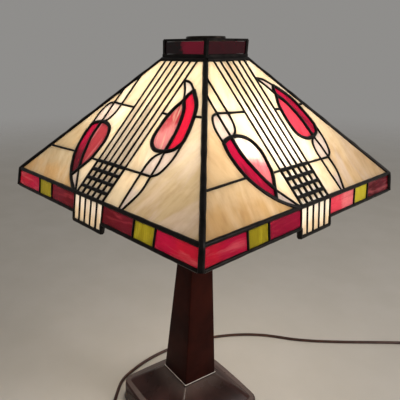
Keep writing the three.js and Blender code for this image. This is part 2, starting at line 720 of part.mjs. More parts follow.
// The flat disc that screws down over the vent cap.
function buildFinial(parent, low) {
  const top = COLLAR_TOP_Z + 3;
  const profile = [
    [PIPE_HOLE, low], [DISC_RADIUS - 0.6, low], [DISC_RADIUS, low + 0.8], [DISC_RADIUS, top - 1.2],
    [DISC_RADIUS - 1.2, top - 0.4], [0, top], [0, top - 1.4], [PIPE_HOLE, top - 1.4], [PIPE_HOLE, low],
  ];
  addMesh(parent, 'disc_finial', turned(profile, 28), 'leadBlack');
}

// ---------- cord ----------
// The free cord's route on the table, from the strain relief to the coil.
function cordRoute() {
  const [x, y, z] = CORD_EXIT;
  const start = y - RELIEF_SET - RELIEF_LENGTH - GAP;
  const rest = CORD_RADIUS + 0.15;
  const bend = [];
  for (let i = 0; i <= 5; i++) {
    const angle = -i * 26 * Math.PI / 180;
    const fall = (z - 1.4 - rest) * (1 + Math.cos(Math.PI * i / 5)) / 2;
    bend.push([
      x - CORD_BEND + CORD_BEND * Math.cos(angle),
      start - 5 + CORD_BEND * Math.sin(angle),
      rest + 0.8 + fall,
    ]);
  }
  return [
    [x, start, z], ...bend,
    [-64, -138, rest], [-82, -122.5, rest], [-99.3, -107.8, rest], [-115, -94, rest], [-128, -80, rest],
    [-138, -62, rest], [-147, -38, rest], [-154.5, -11, rest], [-159.6, 16, rest], [-162.4, 44, rest],
    [-162.6, 76, rest], [-158.5, 114, rest], [-151, 152, rest], [-140.5, 188, rest], [-122.5, 229, rest],
    [-103, 262, rest], [-80.5, 291, rest], [-57, 314, rest], [-36, 333, rest], [-5.5, 367, rest],
    [36.5, 424, rest], [76, 482.5, rest], [115.2, 540, rest], [134, 563.6, rest], [150.8, 586.8, rest],
  ];
}

function sweep(route, steps, sides) {
  const path = new THREE.CatmullRomCurve3(route.map((p) => new THREE.Vector3(...p)), false, 'centripetal');
  const section = new THREE.Shape(circleOutline(CORD_RADIUS, sides).map(([x, y]) => new THREE.Vector2(x, y)));
  return new THREE.ExtrudeGeometry(section, { steps, extrudePath: path, bevelEnabled: false });
}

function buildCord(parent) {
  const [x, y, z] = CORD_EXIT;
  const relief = turned([
    [CORD_RADIUS + GAP, 0], [7, 0], [7, 2], [5.4, 2.6], [CORD_RADIUS + 1.1, RELIEF_LENGTH],
    [CORD_RADIUS + GAP, RELIEF_LENGTH], [CORD_RADIUS + GAP, 0],
  ], 18).rotateX(Math.PI / 2).translate(x, y - RELIEF_SET, z);
  addMesh(parent, 'strain_relief', relief, 'black');
  const route = cordRoute();
  addMesh(parent, 'cord_run', sweep(route, 62, 9), 'cordBrown');

  // A little over four turns lie two high and three wide.
  const [cx, cy] = COIL_CENTRE;
  const low = 1;
  const high = low + 4 * CORD_RADIUS;
  const halfWide = 3 * CORD_RADIUS;
  const coil = turned([
    [COIL_RADIUS - halfWide, low + 2], [COIL_RADIUS - halfWide + 2, low], [COIL_RADIUS + halfWide - 2, low],
    [COIL_RADIUS + halfWide, low + 2], [COIL_RADIUS + halfWide, high - 2], [COIL_RADIUS + halfWide - 2, high],
    [COIL_RADIUS - halfWide + 2, high], [COIL_RADIUS - halfWide, high - 2], [COIL_RADIUS - halfWide, low + 2],
  ], 32);
  addMesh(parent, 'cord_coil', coil.translate(cx, cy, 0), 'cordBrown');

  const tieOut = rectangle(-halfWide - 1.2, low - 0.9, halfWide + 1.2, high + 0.9);
  const tieIn = rectangle(-halfWide - 0.4, low - GAP, halfWide + 0.4, high + GAP);
  const tie = plate(tieOut, [tieIn], -3, 6).rotateX(Math.PI / 2).translate(cx + COIL_RADIUS, cy, 0);
  addMesh(parent, 'coil_tie', tie, 'black');
  buildPlug(parent);
}

// A flat two-pin plug lies beside the coil on a short tail.
function buildPlug(parent) {
  const [cx, cy] = COIL_CENTRE;
  const rest = CORD_RADIUS + 0.1;
  const away = COIL_RADIUS + 3 * CORD_RADIUS + GAP;
  const tail = [
    [cx + 4, cy + away + 3.2, rest], [cx + 14, cy + away + 3.6, rest], [cx + 24, cy + away + 5, rest],
    [cx + 34, cy + away + 8, rest], [cx + 44, cy + away + 11, rest],
  ];
  addMesh(parent, 'cord_tail', sweep(tail, 5, 10), 'cordBrown');
  const plug = new THREE.Group();
  plug.position.set(cx + 44, cy + away + 11, 0);
  plug.rotation.z = Math.atan2(3, 10);
  const body = plate([
    [GAP, -4.2], [6, -4.6], [12, -10], [30, -12], [32, -11],
    [32, 11], [30, 12], [12, 10], [6, 4.6], [GAP, 4.2],
  ], [], 0.2, 12);
  addMesh(plug, 'plug_body', body, 'black');
  for (const [name, offset] of [['plug_pin_a', -6.35], ['plug_pin_b', 6.35]]) {
    addMesh(plug, name, block(32 + GAP, 48, offset - 0.8, offset + 0.8, 3, 9.4), 'brass');
  }
  parent.add(plug);
}

const lamp = new THREE.Group();
buildBase(lamp);
buildLights(lamp);
buildShade(lamp);
buildCord(lamp);

export default lamp;
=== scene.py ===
import math
import random
import bpy
from mathutils import Matrix, Vector, noise


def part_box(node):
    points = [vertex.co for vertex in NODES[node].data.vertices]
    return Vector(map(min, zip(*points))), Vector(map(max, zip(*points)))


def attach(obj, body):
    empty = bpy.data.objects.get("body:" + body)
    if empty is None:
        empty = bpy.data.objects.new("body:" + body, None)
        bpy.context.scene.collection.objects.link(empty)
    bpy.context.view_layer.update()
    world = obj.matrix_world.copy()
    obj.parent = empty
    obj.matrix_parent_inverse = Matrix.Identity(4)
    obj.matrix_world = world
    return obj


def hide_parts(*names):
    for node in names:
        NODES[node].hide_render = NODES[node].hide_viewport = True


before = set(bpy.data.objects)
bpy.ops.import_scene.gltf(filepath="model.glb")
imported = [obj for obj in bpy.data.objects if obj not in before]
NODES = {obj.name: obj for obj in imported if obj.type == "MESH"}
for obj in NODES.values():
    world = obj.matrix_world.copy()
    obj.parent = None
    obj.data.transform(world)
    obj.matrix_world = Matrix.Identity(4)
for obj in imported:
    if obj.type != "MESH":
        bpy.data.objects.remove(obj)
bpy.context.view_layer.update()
MM = 0.001
SIDES = ["right", "back", "left", "front"]


# ---------- camera ----------
def build_camera():
    """The camera, solved from the corners of the shade, the column and the base."""
    data = bpy.data.cameras.new("camera")
    data.lens = 35.963
    data.sensor_width = 36.0
    data.shift_x = 0.10034
    data.shift_y = 0.27896
    data.clip_start = 0.02
    data.clip_end = 60
    camera = bpy.data.objects.new("camera", data)
    bpy.context.scene.collection.objects.link(camera)
    right = Vector((0.536402, 0.84395, -0.004746))
    up = Vector((-0.46299, 0.298962, 0.834423))
    back = Vector((0.70563, -0.445389, 0.551104))
    place = Vector((0.44785, -0.34803, 0.59533))
    turn = Matrix((right, up, back)).transposed()
    camera.matrix_world = Matrix.Translation(place) @ turn.to_4x4()
    bpy.context.scene.camera = camera


# ---------- lines ----------
def catmull(points, steps):
    """Centripetal curve through points, with steps pieces in all."""
    pts = [Vector(p) for p in points]
    pts = [2 * pts[0] - pts[1]] + pts + [2 * pts[-1] - pts[-2]]
    spans = len(points) - 1
    out = []
    for n in range(steps + 1):
        at = n / steps * spans
        i = min(int(at), spans - 1)
        t = at - i
        p0, p1, p2, p3 = pts[i:i + 4]
        d0, d1, d2 = (max((b - a).length, 1e-6) ** 0.5 for a, b in ((p0, p1), (p1, p2), (p2, p3)))
        m1 = ((p1 - p0) / d0 - (p2 - p0) / (d0 + d1) + (p2 - p1) / d1) * d1
        m2 = ((p2 - p1) / d1 - (p3 - p1) / (d1 + d2) + (p3 - p2) / d2) * d1
        out.append(p1 + m1 * t + (3 * p2 - 3 * p1 - 2 * m1 - m2) * t * t
                   + (2 * p1 - 2 * p2 + m1 + m2) * t ** 3)
    return out


def resampled(points, step):
    """Points about step apart along a line, corners kept."""
    pts = [Vector(p) for p in points]
    out = [pts[0]]
    for a, b in zip(pts, pts[1:]):
        n = max(1, round((b - a).length / step))
        out += [a.lerp(b, i / n) for i in range(1, n + 1)]
    return out


# ---------- cord, in millimetres and degrees ----------
CORD_RADIUS = 3.3
CORD_REST = CORD_RADIUS + 0.15
CORD_START = -126.7
CORD_HEIGHT = 12
CORD_STUB = 5
CORD_BEND = 28
BEND_ANGLE, BEND_STEPS = 130, 5
START_SAG, END_LIFT = 0.6, 0.8
COIL_CENTRE = (189.5, 560.7)
COIL_RINGS = [(39.7, 4.3), (33.1, 4.3), (26.5, 4.3), (33.1, 10.9), (39.7, 10.9)]
COIL_START = 146
COIL_SWEEP = 1492
COIL_STEP = 4
SHIFT_FROM, SHIFT_OVER = 220, 140
CLIMB_TURN, CLIMB_FROM, CLIMB_OVER, CLIMB = 2, 60, 160, 6.6
LEAD_IN, IN_REACH, IN_DROP = 70, 7, 0.85
LEAD_OUT, OUT_REACH, OUT_DROP = 52, 3.4, 0.4
ROUTE = [
    (-64, -138), (-82, -122.5), (-99.3, -107.8), (-115, -94), (-128, -80), (-138, -62), (-147, -38),
    (-154.5, -11), (-159.6, 16), (-162.4, 44), (-162.6, 76), (-158.5, 114), (-151, 152),
    (-140.5, 188), (-122.5, 229), (-103, 262), (-80.5, 291), (-57, 314), (-36, 333), (-5.5, 367),
    (36.5, 424), (76, 482.5), (115.2, 540), (134, 563.6), (150.8, 586.8),
]
TAIL = [(10, 45.3, 8.7), (24, 47.8, 5.2), (34, 50.6, 3.7), (44, 54.3, CORD_REST)]
RUN_STEPS, TAIL_STEPS = 300, 20


def eased(s):
    return s * s * (3 - 2 * s)


def coil_points():
    """Turns laid three wide and two high, wound inwards below and outwards above."""
    out = []
    for degree in range(0, COIL_SWEEP + 1, COIL_STEP):
        turn, within = divmod(degree, 360)
        r, z = COIL_RINGS[turn]
        if within > SHIFT_FROM and turn < len(COIL_RINGS) - 1:
            r += (COIL_RINGS[turn + 1][0] - r) * eased((within - SHIFT_FROM) / SHIFT_OVER)
        if turn == CLIMB_TURN and within > CLIMB_FROM:
            z += CLIMB * eased(min(1, (within - CLIMB_FROM) / CLIMB_OVER))
        if degree < LEAD_IN:
            r += IN_REACH * eased(1 - degree / LEAD_IN)
            z -= IN_DROP * eased(1 - degree / LEAD_IN)
        if degree > COIL_SWEEP - LEAD_OUT:
            r += OUT_REACH * eased((degree - COIL_SWEEP + LEAD_OUT) / LEAD_OUT)
            z -= OUT_DROP * eased((degree - COIL_SWEEP + LEAD_OUT) / LEAD_OUT)
        angle = math.radians(COIL_START - degree)
        out.append((COIL_CENTRE[0] + r * math.cos(angle), COIL_CENTRE[1] + r * math.sin(angle), z))
    return out


def cord_line():
    """From the strain relief: down and round a bend, over the floor, into the coil, and out to the plug."""
    drop = CORD_HEIGHT - START_SAG - END_LIFT - CORD_REST
    bend = []
    for i in range(BEND_STEPS + 1):
        angle = math.radians(-BEND_ANGLE * i / BEND_STEPS)
        above = drop * (1 + math.cos(math.pi * i / BEND_STEPS)) / 2
        bend.append((CORD_BEND * (math.cos(angle) - 1), CORD_START - CORD_STUB + CORD_BEND * math.sin(angle),
                     CORD_REST + END_LIFT + above))
    floor = [(x, y, CORD_REST) for x, y in ROUTE]
    run = catmull([(0, CORD_START, CORD_HEIGHT)] + bend + floor, RUN_STEPS)
    coil = [Vector(p) for p in coil_points()][1:]
    cx, cy = COIL_CENTRE
    tail = catmull([coil[-1]] + [(cx + x, cy + y, z) for x, y, z in TAIL], TAIL_STEPS)[1:]
    return [p * MM for p in run + coil + tail]


def build_cord(material):
    points = cord_line()
    data = bpy.data.curves.new("flex", "CURVE")
    data.dimensions = "3D"
    data.bevel_depth = CORD_RADIUS * MM
    data.bevel_resolution = 4
    data.use_fill_caps = True
    spline = data.splines.new("POLY")
    spline.points.add(len(points) - 1)
    for at, p in zip(spline.points, points):
        at.co = (*p, 1)
    spline.use_smooth = True
    data.materials.append(material)
    flex = bpy.data.objects.new("flex", data)
    bpy.context.scene.collection.objects.link(flex)
    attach(flex, "base")
    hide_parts("cord_run", "cord_coil", "cord_tail")


# ---------- material nodes ----------
def linear(r, g, b):
    """A colour from its 0-255 sRGB values."""
    return tuple(((c / 255 + 0.055) / 1.055) ** 2.4 if c > 10 else c / 255 / 12.92 for c in (r, g, b))


class Tree:
    """A material with its Principled shader, and short calls that add nodes."""

    def __init__(self, name, **sockets):
        self.mat = bpy.data.materials.new(name)
        self.mat.use_nodes = True
        self.nodes = self.mat.node_tree.nodes
        self.links = self.mat.node_tree.links
        self.shader = self.nodes["Principled BSDF"]
        self.out = self.nodes["Material Output"]
        for socket, value in sockets.items():
            self.shader.inputs[socket.replace("_", " ")].default_value = value

    def node(self, kind, inputs=None, **props):
        n = self.nodes.new("ShaderNode" + kind)
        for key, value in props.items():
            setattr(n, key, value)
        for key, value in (inputs or {}).items():
            self.feed(n.inputs[key], value)
        return n

    def feed(self, socket, value):
        if isinstance(value, bpy.types.NodeSocket):
            self.links.new(value, socket)
        else:
            socket.default_value = value

    def coords(self, scale=(1, 1, 1), attribute=None):
        if attribute:
            source = self.node("Attribute", attribute_name=attribute).outputs["Vector"]
        else:
            source = self.node("TexCoord").outputs["Object"]
        return self.node("Mapping", {"Vector": source, "Scale": scale}).outputs["Vector"]

    def noise(self, vector, scale, detail=3.0, rough=0.55, distortion=0.0):
        return self.node("TexNoise", {"Vector": vector, "Scale": scale, "Detail": detail, "Roughness": rough,
                                      "Distortion": distortion}).outputs["Fac"]

    def ramp(self, value, low, high, out_low=0.0, out_high=1.0):
        n = self.node("MapRange", {"Value": value, "From Min": low, "From Max": high, "To Min": out_low,
                                   "To Max": out_high}, interpolation_type="SMOOTHSTEP")
        return n.outputs["Result"]

    def mix(self, factor, a, b, mode="MIX"):
        n = self.node("Mix", data_type="RGBA", blend_type=mode)
        for index, value in ((0, factor), (6, a), (7, b)):
            if isinstance(value, tuple) and len(value) == 3:
                value = (*value, 1)
            self.feed(n.inputs[index], value)
        return n.outputs[2]

    def maths(self, operation, a, b=0.0):
        n = self.node("Math", operation=operation)
        self.feed(n.inputs[0], a)
        self.feed(n.inputs[1], b)
        return n.outputs[0]

    def bump(self, height, distance, strength=1.0):
        n = self.node("Bump", {"Height": height, "Distance": distance, "Strength": strength})
        self.links.new(n.outputs["Normal"], self.shader.inputs["Normal"])
        return n.outputs["Normal"]

    def set(self, socket, value):
        self.feed(self.shader.inputs[socket], value)

    def blend(self, share, other):
        """Mixes a second shader into the surface; share is how much of it there is."""
        both = self.node("MixShader", {"Fac": share})
        self.links.new(self.shader.outputs[0], both.inputs[1])
        self.links.new(other.outputs[0], both.inputs[2])
        self.links.new(both.outputs[0], self.out.inputs["Surface"])


def art_glass(name, streak, cloud, painted_glow):
    """Sheet glass with light from behind it: colours run in streaks along the sheet, and the surface ripples.
    It also glows faintly in its own colour, a painted light.
    """
    t = Tree(name, Roughness=0.13, IOR=1.5, Coat_Weight=0.25, Coat_Roughness=0.05)
    sheet = t.coords(attribute="sheet")
    stretched = t.coords(streak, attribute="sheet")
    low = t.node("Attribute", attribute_name="tone_low").outputs["Color"]
    high = t.node("Attribute", attribute_name="tone_high").outputs["Color"]
    wisp = t.node("Attribute", attribute_name="tone_wisp").outputs["Color"]
    along = t.node("Attribute", attribute_name="along").outputs["Fac"]
    wander = t.noise(sheet, 34, 3, 0.6)
    place = t.maths("ADD", along, t.maths("MULTIPLY", t.maths("SUBTRACT", wander, 0.5), 0.9))
    base = t.mix(t.ramp(place, 0.3, 0.72), low, high)
    streaks = t.noise(stretched, 1.0, 4, 0.55, 0.6)
    colour = t.mix(t.maths("MULTIPLY", t.ramp(streaks, 0.46, 0.72), cloud), base, wisp)
    fine = t.ramp(t.noise(stretched, 4.0, 3, 0.6), 0.35, 0.8, 0.0, 0.4)
    colour = t.mix(fine, colour, t.mix(1.0, colour, (0.62, 0.5, 0.4), "MULTIPLY"))
    t.set("Base Color", colour)
    # Painted light: the glass glows faintly in its own colour, though it is no lamp.
    t.set("Emission Color", colour)
    t.set("Emission Strength", painted_glow)
    ripple = t.maths("ADD", t.noise(sheet, 70, 2), t.maths("MULTIPLY", t.noise(sheet, 320, 2), 0.25))
    normal = t.bump(ripple, 0.0012, 0.35)
    t.blend(0.62, t.node("BsdfTranslucent", {"Color": colour, "Normal": normal}))
    return t.mat


def glass_back(name):
    """The inner face of a pane, which lets the lamp's light into the sheet."""
    t = Tree(name, Roughness=0.3, IOR=1.5)
    colour = t.mix(t.ramp(t.noise(t.coords(), 40, 3), 0.3, 0.7), linear(250, 247, 240), linear(246, 240, 230))
    t.set("Base Color", colour)
    t.blend(0.75, t.node("BsdfTranslucent", {"Color": colour}))
    return t.mat


def solder(name):
    """Lead line or solder bead with a black patina, paler in small patches of wear."""
    t = Tree(name, Metallic=0.85, IOR=1.5)
    where = t.coords()
    patches = t.noise(where, 90, 4, 0.6)
    colour = t.mix(t.ramp(patches, 0.3, 0.75), linear(20, 18, 17), linear(44, 40, 38))
    wear_and_top_highlight = t.ramp(t.noise(where, 420, 3, 0.7), 0.62, 0.8, 0.0, 0.35)
    t.set("Base Color", t.mix(wear_and_top_highlight, colour, linear(96, 90, 86)))
    t.set("Roughness", t.ramp(patches, 0.2, 0.8, 0.3, 0.5))
    t.bump(t.noise(where, 260, 3, 0.6), 0.0006, 0.4)
    return t.mat


def bronze(name, dark, light, rough, wear_and_top_highlight, shine, flat=0.0):
    """Cast metal with a smooth lacquered bronze finish and soft mottling, with a painted highlight: a lighter
    colour mixed in where the surface faces up.
    """
    t = Tree(name, IOR=1.3, Specular_IOR_Level=shine)
    where = t.coords()
    mottle = t.noise(where, 14, 4, 0.5, 0.4)
    colour = t.mix(t.ramp(mottle, 0.3, 0.72), linear(*dark), linear(*light))
    # Painted highlight: faces that point up are mixed towards a light colour, as if lit from above.
    level = t.node("SeparateXYZ", {0: t.node("NewGeometry").outputs["Normal"]}).outputs["Z"]
    colour = t.mix(t.ramp(level, 0.88, 0.98, 0.0, flat), colour, linear(*wear_and_top_highlight))
    t.set("Base Color", colour)
    t.set("Roughness", t.ramp(t.noise(where, 22, 3, 0.5), 0.3, 0.7, *rough))
    t.bump(t.noise(where, 45, 2, 0.5), 0.0005, 0.05)
    return t.mat


def metal(name, colour, dark, rough, metallic=1.0):
    t = Tree(name, Metallic=metallic, IOR=1.5)
    where = t.coords((300, 300, 300))
    stain = t.noise(t.coords(), 70, 4, 0.6)
    t.set("Base Color", t.mix(t.ramp(stain, 0.35, 0.75), linear(*colour), linear(*dark)))
    t.set("Roughness", t.ramp(t.noise(where, 1.0, 3), 0.3, 0.7, rough * 0.75, rough * 1.25))
    t.bump(t.noise(where, 1.0, 2), 0.0004, 0.2)
    return t.mat


def collar_glass(name, lit):
    """Deep red sheet glass, with a painted patch of light: a brighter magenta stretch where the lamp shines
    through. It also glows faintly, a painted light.
    """
    t = Tree(name, Roughness=0.22, IOR=1.5, Specular_IOR_Level=0.3)
    where = t.coords()
    # Painted light: the magenta stretch is set by place across the pane, not by the lamps.
    across = t.node("SeparateXYZ", {0: where}).outputs["X"]
    wander = t.maths("MULTIPLY", t.maths("SUBTRACT", t.noise(where, 60, 3, 0.6), 0.5), 0.03)
    bright = t.ramp(t.maths("ADD", across, wander), -0.002, 0.006)
    smoky = t.mix(t.ramp(t.noise(where, 90, 4, 0.6), 0.3, 0.7), linear(14, 2, 4), linear(30, 4, 8))
    colour = t.mix(t.maths("MULTIPLY", bright, lit), smoky, linear(136, 12, 46))
    t.set("Base Color", colour)
    # Painted light: the glass glows faintly in its own colour, though it is no lamp.
    t.set("Emission Color", colour)
    t.set("Emission Strength", 0.16)
    t.bump(t.noise(where, 120, 2), 0.0005, 0.3)
    return t.mat


def plastic(name, colour, rough, grain=900, light=None):
    t = Tree(name, IOR=1.46)
    where = t.coords()
    cloud = t.noise(where, 45, 3)
    light = light or tuple(min(255, c * 1.25 + 6) for c in colour)
    t.set("Base Color", t.mix(t.ramp(cloud, 0.3, 0.7), linear(*colour), linear(*light)))
    t.set("Roughness", t.ramp(t.noise(where, 120, 3), 0.3, 0.7, rough * 0.85, rough * 1.15))
    t.bump(t.noise(where, grain, 2), 0.0003, 0.3)
    return t.mat


def felt(name):
    t = Tree(name, Roughness=0.95, Sheen_Weight=0.6)
    where = t.coords()
    fuzz = t.noise(where, 700, 4, 0.7)
    t.set("Base Color", t.mix(fuzz, linear(22, 40, 26), linear(48, 74, 50)))
    t.bump(fuzz, 0.0008, 0.8)
    return t.mat


def lit_bulb(name):
    """Soft white lamp glass that glows, a little warmer in some patches than in others."""
    t = Tree(name, Roughness=0.4, IOR=1.5)
    where = t.coords()
    milk = t.mix(t.ramp(t.noise(where, 30, 2), 0.3, 0.7), linear(255, 246, 228), linear(255, 238, 210))
    t.set("Base Color", milk)
    warmth = t.ramp(t.noise(where, 22, 2), 0.2, 0.8)
    t.set("Emission Color", t.mix(warmth, linear(255, 226, 180), linear(255, 236, 200)))
    t.set("Emission Strength", 2.2)
    return t.mat


def floor_finish(name):
    """Pale paint that fades out away from the lamp, so that the floor has no edge."""
    t = Tree(name, Roughness=0.75)
    where = t.coords()
    cloud = t.ramp(t.noise(where, 6, 3), 0.3, 0.7)
    t.set("Base Color", t.mix(cloud, linear(206, 200, 190), linear(211, 205, 196)))
    away = t.node("VectorMath", {0: where}, operation="LENGTH").outputs["Value"]
    t.blend(t.ramp(away, 1.4, 4.5), t.node("BsdfTransparent"))
    return t.mat


# ---------- meshes ----------
def piece(name, verts, faces, materials, body, matrix, replaces=(), flat_over=None):
    """A named piece riding on its body, from millimetre points in a frame that matrix takes to the row frame.

    With flat_over it is shaded smooth, apart from edges sharper than that many degrees.
    """
    mesh = bpy.data.meshes.new(name)
    mesh.from_pydata([Vector(v) * MM for v in verts], [], faces)
    mesh.validate()
    for material in materials:
        mesh.materials.append(material)
    if flat_over:
        mesh.shade_smooth()
        mesh.set_sharp_from_angle(angle=math.radians(flat_over))
    obj = bpy.data.objects.new(name, mesh)
    bpy.context.scene.collection.objects.link(obj)
    obj.matrix_world = matrix
    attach(obj, body)
    if replaces:
        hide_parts(*replaces)
    return obj


class Sweep:
    """Collects beads swept along lines, each a closed tube of the same section."""

    def __init__(self):
        self.verts = []
        self.faces = []

    def add(self, rings):
        first = len(self.verts)
        count = len(rings[0])
        self.verts += [v for ring in rings for v in ring]
        for r in range(len(rings) - 1):
            for i in range(count):
                a = first + r * count + i
                b = first + r * count + (i + 1) % count
                self.faces.append((a, b, b + count, a + count))
        self.faces.append(tuple(first + i for i in reversed(range(count))))
        last = first + (len(rings) - 1) * count
        self.faces.append(tuple(last + i for i in range(count)))

    def flat(self, line, half, rise, seed):
        """A solder line in a panel's plane: rounded outside and inside, with hand-made unevenness."""
        pts = resampled([(p[0], p[1], 0) for p in line], 2.6)
        rings = []
        for i, p in enumerate(pts):
            before = (p - pts[i - 1]).normalized() if i else (pts[1] - p).normalized()
            after = (pts[i + 1] - p).normalized() if i < len(pts) - 1 else before
            side = Vector((-before.y - after.y, before.x + after.x, 0))
            side = side.normalized() if side.length > 0.2 else Vector((-before.y, before.x, 0))
            reach = 1 / max(0.6, -before.y * side.x + before.x * side.y)
            wobble = noise.noise(Vector((p.x * 0.09, p.y * 0.09, seed)))
            lump = noise.noise(Vector((p.x * 0.16, p.y * 0.16, seed + 7.3)))
            h = half * (1 + 0.13 * wobble)
            up = rise * (1 + 0.2 * lump)
            low = -GLASS
            section = [(h, -0.1), (h * 0.9, up * 0.5), (h * 0.5, up * 0.92), (0, up), (-h * 0.5, up * 0.92),
                       (-h * 0.9, up * 0.5), (-h, -0.1), (-h, low + 0.1), (-h * 0.75, low - up * 0.6),
                       (0, low - up * 0.9), (h * 0.75, low - up * 0.6), (h, low + 0.1)]
            rings.append([p + side * (x * reach) + Vector((0, 0, z)) for x, z in section])
        self.add(rings)

    def round(self, line, radius, seed, sides, lump):
        """A round bead along a line in space."""
        pts = resampled(line, 3.0)
        rings = []
        across = None
        for i, p in enumerate(pts):
            before = p - pts[i - 1] if i else pts[1] - p
            after = pts[i + 1] - p if i < len(pts) - 1 else before
            along = (before.normalized() + after.normalized()).normalized()
            across = across or along.orthogonal().normalized()
            across = (across - along * across.dot(along)).normalized()
            other = along.cross(across)
            r = radius * (1 + lump * noise.noise(p * 0.07 + Vector((0, 0, seed))))
            rings.append([p + (across * math.cos(a) + other * math.sin(a)) * r
                          for a in (2 * math.pi * k / sides for k in range(sides))])
        self.add(rings)


# ---------- the shade's pattern, in millimetres: u to the right, v up the slope from the arris ----------
SHADE_TURN = 8.4
SHADE_HALF = 178
COLLAR_HALF = 34.4
ARRIS_Z = 454
PYRAMID_RISE = 132.4
APRON_DROP = 22
APRON_FLARE = 4.5
APRON_NEAR, APRON_FAR = 85, 118
TAB_HALF = 29
TAB_DROP = 32
GLASS = 2.8
SLOPE = math.hypot(SHADE_HALF - COLLAR_HALF, PYRAMID_RISE)
PANEL_TOP = SLOPE - 4
STRIP_HALF = 26
GRID_TOP = 46
HIP_TOP_Z = 583.4
HIP_BEAD = 3.1
ARRIS_BEAD = 2.45
SAME_POINT = 0.3

# How far the panes stop short of the arris, the collar, the hips, and the apron's foot, head and ends.
ARRIS_GAP, TOP_GAP, HIP_GAP = 1.2, 0.8, 3.2
FOOT_GAP, HEAD_GAP, END_GAP = 1.2, 1.4, 3.4

# Half the width, and the height, of each kind of solder line.
PLAIN, BOLD = (1.35, 1.35), (2.35, 1.7)
UPRIGHT, RUNG, GRID_UPRIGHT = (1.3, 1.3), (2.2, 1.6), (1.9, 1.5)
COLLAR_LINE, APRON_SPLIT, APRON_FOOT = (2.4, 1.8), (1.5, 1.4), (2.1, 1.9)
LINE_HEAD = -0.5


def hip_at(v):
    return SHADE_HALF - v * (SHADE_HALF - COLLAR_HALF) / SLOPE


def curve(points, steps=24):
    return [(p.x, p.y) for p in catmull([(x, y, 0) for x, y in points], steps)]


def nearest(points, at):
    return min(range(len(points)), key=lambda i: math.dist(points[i], at))


def up_to(points, at):
    return points[:nearest(points, at) + 1]


def onward(points, at):
    return points[nearest(points, at):]


def outline(*stretches):
    """A pane's outline from stretches of line, anticlockwise, without points that repeat the one before."""
    points = []
    for p in (q for s in stretches for q in s):
        if not points or math.dist(p, points[-1]) > SAME_POINT:
            points.append(tuple(p))
    if math.dist(points[0], points[-1]) < SAME_POINT:
        points.pop()
    area = sum(a[0] * b[1] - b[0] * a[1] for a, b in zip(points, points[1:] + points[:1]))
    return points if area > 0 else points[::-1]


def rectangle(x0, y0, x1, y1):
    return [(x0, y0), (x1, y0), (x1, y1), (x0, y1)]


def cut(points, inside):
    """The part of an outline where inside(point) is not negative."""
    kept = []
    for p, q in zip(points, points[1:] + points[:1]):
        here, there = inside(p), inside(q)
        if here >= 0:
            kept.append(p)
        if here * there < 0:
            t = here / (here - there)
            kept.append((p[0] + t * (q[0] - p[0]), p[1] + t * (q[1] - p[1])))
    return kept


def low_leaf():
    """Left of the strips: the low leaf, round above and pointed below.

    Gives the panes by name, then the plain and the bold lead lines, as high_leaf also does.
    """
    def hip(v):
        return (-hip_at(v), v)

    def strip(v):
        return (-STRIP_HALF, v)

    outer_node, inner_node, tip = (-68.5, 125), (-52.5, 123.5), (-51, 28)
    stalk_inner = curve([inner_node, (-53.5, 111), (-58, 101), (-66, 95.6)])
    stalk_middle = [outer_node, (-68.5, 95.5)]
    stalk_outer = curve([outer_node, (-77, 121.5), (-83.5, 109), (-84, 90)])
    crown = curve([(-84, 90), (-77, 93.7), (-68.5, 95.5)], 8)
    inner = curve([(-68.5, 95.5), (-57, 95), (-45, 89), (-38, 74), (-38.5, 60), (-41, 46), tip], 42)
    outer = curve([(-84, 90), (-85.5, 75), (-80, 48), (-62, 21.5), (-42, 6), (-30, 0)], 48)
    midrib = curve([(-68.5, 95.5), (-68.5, 75), (-60.5, 48), tip], 24)
    ledge = outer[nearest(outer, (-80, 47))]
    barb = outer[nearest(outer, (-57, 17))]
    waist = inner[nearest(inner, (-41, 46))]
    panes = {
        "top": outline([inner_node, hip(170.7), hip(PANEL_TOP), strip(PANEL_TOP), strip(122)]),
        "band": outline([inner_node, outer_node, (-68, 143), hip(152.3), hip(170.7)]),
        "stalk_a": outline(stalk_inner, stalk_middle[::-1]),
        "stalk_b": outline(stalk_outer, crown, stalk_middle[::-1]),
        "inside": outline([inner_node, strip(122), strip(GRID_TOP)], up_to(inner, waist)[::-1],
                          stalk_inner[::-1]),
        "leaf_in": outline(midrib, inner[::-1]),
        "leaf_out": outline(crown, midrib, up_to(outer, barb)[::-1]),
        "tail": outline([tip], onward(outer, barb), [(-28.5, 0)]),
        "under": outline(onward(inner, waist), [(-28.5, 0), strip(0), strip(GRID_TOP)]),
        "field": outline(stalk_outer, up_to(outer, ledge), [hip(47), hip(152.3), (-68, 143)]),
        "corner": outline([hip(47)], onward(outer, ledge), [hip(0)]),
    }
    plain = [[inner_node, strip(122)], [inner_node, hip(170.7)], [inner_node, outer_node],
             [outer_node, (-68, 143), hip(152.3)], stalk_inner, stalk_middle, stalk_outer, [ledge, hip(47)],
             [tip, (-28.5, 0)], [strip(GRID_TOP), waist]]
    return panes, plain, [crown, inner, outer, midrib, [tip, barb]]


